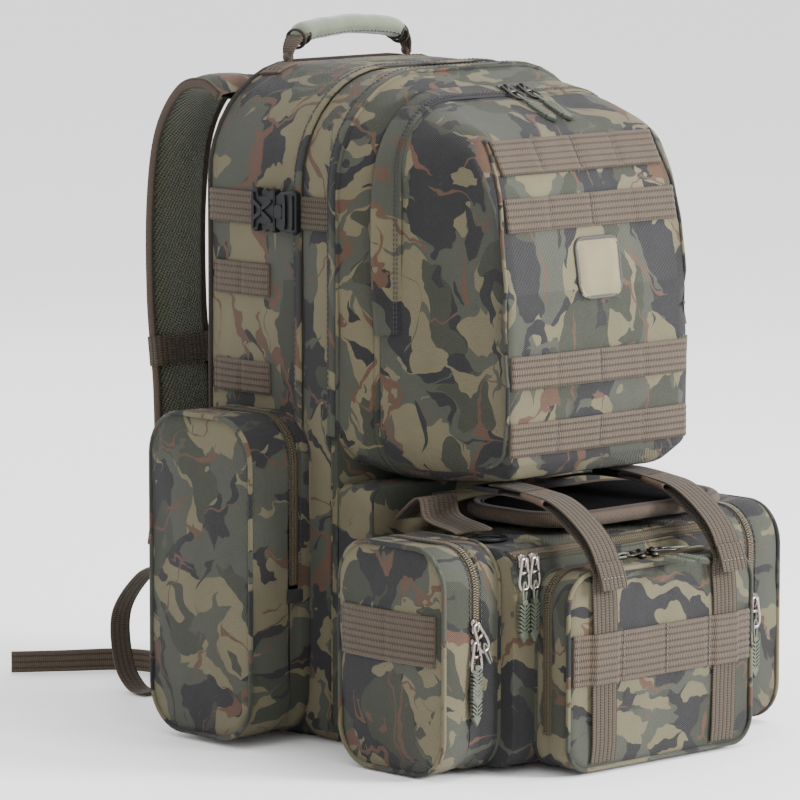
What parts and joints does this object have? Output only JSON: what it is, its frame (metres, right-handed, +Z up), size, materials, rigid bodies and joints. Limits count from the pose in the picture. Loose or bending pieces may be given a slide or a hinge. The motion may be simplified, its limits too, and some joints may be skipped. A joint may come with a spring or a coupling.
{
  "type": "hunting backpack",
  "caption": "Camouflage hunting backpack with zipped front pocket, side pouches, lashed waist pack, padded straps and opening covers.",
  "frame": {"origin": "on the flat underside of the bag, midway across, near the middle of its depth", "axes": "+Z up, -Y towards the front pocket, +Y towards the wearer's back, -X towards the wearer's left"},
  "size_m": [0.394, 0.6374, 0.543],
  "materials": {
    "camo_fabric": "matte coated polyester twill, camouflage print",
    "spacer_mesh": "knitted spacer mesh over foam",
    "stiffener_sheet": "flexible plastic sheet",
    "lining_cloth": "coated lining cloth",
    "zip_tape": "woven tape with a nylon coil",
    "webbing": "ribbed woven webbing",
    "badge_patch": "moulded plain patch",
    "handle_sleeve": "knitted sleeve over foam",
    "black_plastic": "moulded, satin",
    "belt_padding": "brushed cloth over foam, bound edge",
    "slider_metal": "dark nickel plated die casting"
  },
  "bodies": {
    "bag": {"adjuster_tail_left": "webbing", "adjuster_tail_right": "webbing", "adjuster_webbing_left": "webbing", "adjuster_webbing_right": "webbing", "back_pads": "spacer_mesh", "back_panel": "spacer_mesh", "belt_pad": "belt_padding", "belt_ring": "black_plastic", "belt_webbing": "webbing", "buckle_plug_left": "black_plastic", "buckle_plug_right": "black_plastic", "buckle_socket_left": "black_plastic", "buckle_socket_right": "black_plastic", "centre_pouch": "camo_fabric", "compression_strap_left": "webbing", "compression_strap_right": "webbing", "d_ring_keepers": "webbing", "dividers": "lining_cloth", "end_pouch_left": "camo_fabric", "end_pouch_right": "camo_fabric", "frame_sheet": "stiffener_sheet", "front_pocket_lower": "camo_fabric", "front_webbing_lower": "webbing", "ladder_locks": "black_plastic", "lash_buckles": "black_plastic", "lash_webbing": "webbing", "lower_front": "camo_fabric", "main_gusset": "camo_fabric", "pod_gusset": "camo_fabric", "second_gusset": "camo_fabric", "shoulder_strap_left": "spacer_mesh", "shoulder_strap_right": "spacer_mesh", "side_pouch_left": "camo_fabric", "side_pouch_right": "camo_fabric", "side_webbing": "webbing", "waist_body": "camo_fabric", "zip_arches": "zip_tape", "zip_sliders": "slider_metal"},
    "front_flap": {"front_flap": "camo_fabric", "front_webbing_upper": "webbing", "front_badge": "badge_patch", "front_sliders": "slider_metal"},
    "handle": {"handle_webbing": "webbing", "handle_grip": "handle_sleeve"},
    "front_pull_left": {"front_pull_left": "slider_metal"},
    "front_pull_right": {"front_pull_right": "slider_metal"},
    "side_cover_left": {"side_cover_left": "camo_fabric"},
    "side_cover_right": {"side_cover_right": "camo_fabric"},
    "end_cover_left": {"end_cover_left": "camo_fabric"},
    "end_cover_right": {"end_cover_right": "camo_fabric"},
    "d_ring_left": {"d_ring_left": "black_plastic"},
    "d_ring_right": {"d_ring_right": "black_plastic"},
    "end_pull_left": {"end_pull_left": "slider_metal"},
    "end_pull_right": {"end_pull_right": "slider_metal"},
    "waist_pull_outer": {"waist_pull_outer": "slider_metal"},
    "waist_pull_inner": {"waist_pull_inner": "slider_metal"},
    "buckle_arm_upper_left": {"buckle_arm_upper_left": "black_plastic"},
    "buckle_arm_lower_left": {"buckle_arm_lower_left": "black_plastic"},
    "buckle_arm_upper_right": {"buckle_arm_upper_right": "black_plastic"},
    "buckle_arm_lower_right": {"buckle_arm_lower_right": "black_plastic"}
  },
  "joints": [
    {"name": "handle_fold", "type": "hinge", "parent": "bag", "child": "handle", "pos_m": [0, 0.118, 0.513], "axis": [1, 0, 0], "range_deg": [-60, 60], "stiffness_Nm_per_rad": 0.35},
    {"name": "front_flap_open", "type": "hinge", "parent": "bag", "child": "front_flap", "pos_m": [0, -0.1595, 0.31265], "axis": [1, 0, 0], "range_deg": [0, 70]},
    {"name": "front_pull_left_lift", "type": "hinge", "parent": "front_flap", "child": "front_pull_left", "pos_m": [0, -0.05769, 0.49617], "axis": [-1, 0, 0], "range_deg": [0, 90]},
    {"name": "front_pull_right_lift", "type": "hinge", "parent": "front_flap", "child": "front_pull_right", "pos_m": [0.017, -0.05769, 0.49617], "axis": [-1, 0, 0], "range_deg": [0, 90]},
    {"name": "side_cover_left_open", "type": "hinge", "parent": "bag", "child": "side_cover_left", "pos_m": [-0.1975, 0.071, 0.11765], "axis": [0, -1, 0], "range_deg": [0, 100]},
    {"name": "end_cover_left_open", "type": "hinge", "parent": "bag", "child": "end_cover_left", "pos_m": [-0.1795, -0.121, 0.06565], "axis": [0, -1, 0], "range_deg": [0, 100]},
    {"name": "d_ring_left_swing", "type": "hinge", "parent": "bag", "child": "d_ring_left", "pos_m": [-0.095, 0.223, 0.38], "axis": [1, 0, 0], "range_deg": [0, 120]},
    {"name": "end_pull_left_swing", "type": "hinge", "parent": "bag", "child": "end_pull_left", "pos_m": [-0.149, -0.1808, 0.1], "axis": [-1, 0, 0], "range_deg": [0, 120]},
    {"name": "buckle_upper_left_squeeze", "type": "hinge", "parent": "bag", "child": "buckle_arm_upper_left", "pos_m": [-0.14, 0.045, 0.41325], "axis": [-1, 0, 0], "range_deg": [0, 6], "stiffness_Nm_per_rad": 0.4},
    {"name": "buckle_lower_left_squeeze", "type": "hinge", "parent": "bag", "child": "buckle_arm_lower_left", "pos_m": [-0.14, 0.045, 0.39475], "axis": [1, 0, 0], "range_deg": [0, 6], "stiffness_Nm_per_rad": 0.4},
    {"name": "side_cover_right_open", "type": "hinge", "parent": "bag", "child": "side_cover_right", "pos_m": [0.1975, 0.071, 0.11765], "axis": [0, 1, 0], "range_deg": [0, 100]},
    {"name": "end_cover_right_open", "type": "hinge", "parent": "bag", "child": "end_cover_right", "pos_m": [0.1795, -0.121, 0.06565], "axis": [0, 1, 0], "range_deg": [0, 100]},
    {"name": "d_ring_right_swing", "type": "hinge", "parent": "bag", "child": "d_ring_right", "pos_m": [0.095, 0.223, 0.38], "axis": [1, 0, 0], "range_deg": [0, 120]},
    {"name": "end_pull_right_swing", "type": "hinge", "parent": "bag", "child": "end_pull_right", "pos_m": [0.149, -0.1808, 0.1], "axis": [-1, 0, 0], "range_deg": [0, 120]},
    {"name": "buckle_upper_right_squeeze", "type": "hinge", "parent": "bag", "child": "buckle_arm_upper_right", "pos_m": [0.14, 0.045, 0.41325], "axis": [-1, 0, 0], "range_deg": [0, 6], "stiffness_Nm_per_rad": 0.4},
    {"name": "buckle_lower_right_squeeze", "type": "hinge", "parent": "bag", "child": "buckle_arm_lower_right", "pos_m": [0.14, 0.045, 0.39475], "axis": [1, 0, 0], "range_deg": [0, 6], "stiffness_Nm_per_rad": 0.4},
    {"name": "waist_pull_outer_swing", "type": "hinge", "parent": "bag", "child": "waist_pull_outer", "pos_m": [-0.114, -0.1948, 0.16], "axis": [-1, 0, 0], "range_deg": [0, 120]},
    {"name": "waist_pull_inner_swing", "type": "hinge", "parent": "bag", "child": "waist_pull_inner", "pos_m": [-0.103, -0.1948, 0.16], "axis": [-1, 0, 0], "range_deg": [0, 120]}
  ],
  "couplings": [
    {"joint": "buckle_lower_left_squeeze", "follows": "buckle_upper_left_squeeze", "ratio": 1},
    {"joint": "buckle_lower_right_squeeze", "follows": "buckle_upper_right_squeeze", "ratio": 1}
  ]
}
